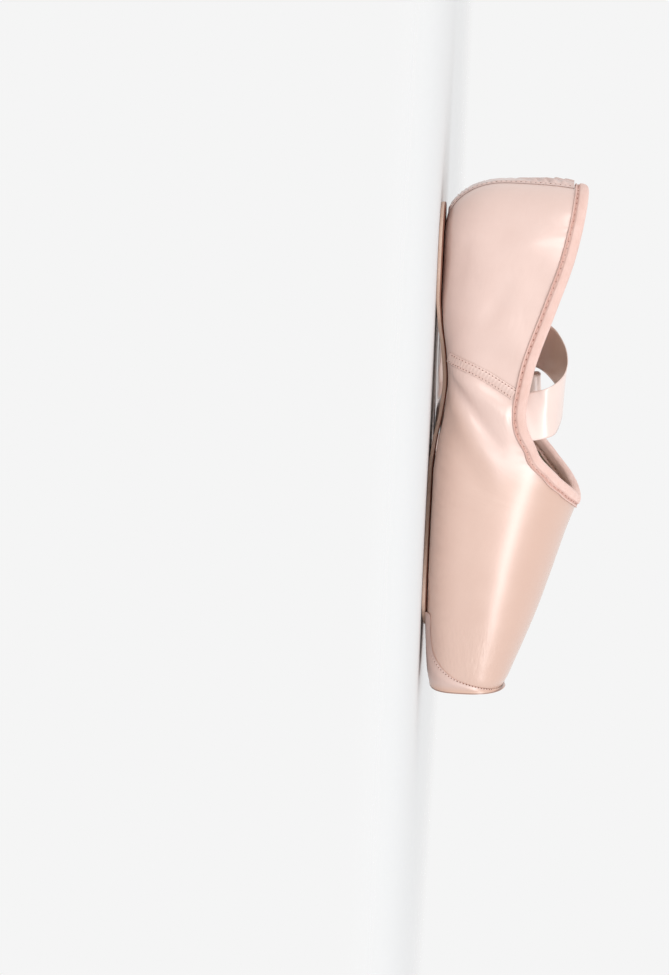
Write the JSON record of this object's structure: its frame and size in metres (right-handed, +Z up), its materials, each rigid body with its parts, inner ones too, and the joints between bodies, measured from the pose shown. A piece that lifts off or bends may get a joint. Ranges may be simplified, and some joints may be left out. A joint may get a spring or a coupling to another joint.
{
  "type": "pointe shoe",
  "caption": "Satin pointe shoe with a stiff tapered box and flat toe platform, soft quarters, bound collar, leather outsole and free satin ribbons.",
  "frame": {"origin": "middle of the outer box of the shoe without its ribbons, on the floor", "axes": "+X towards the toe platform, +Y to the shoe's left, +Z up"},
  "size_m": [0.236, 0.1568, 0.0706],
  "materials": {
    "satin": "satin",
    "strip": "satin",
    "binding": "matte",
    "sole": "suede",
    "board": "matte",
    "ribbon": "satin"
  },
  "bodies": {
    "root": {"upper": "satin", "outsole": "sole", "insole": "board", "collar_binding": "binding", "side_seam_tape_left": "satin", "side_seam_tape_right": "satin", "heel_strip": "strip", "toe_underpanel": "satin", "ribbon_left": "ribbon", "ribbon_right": "ribbon"}
  },
  "joints": []
}
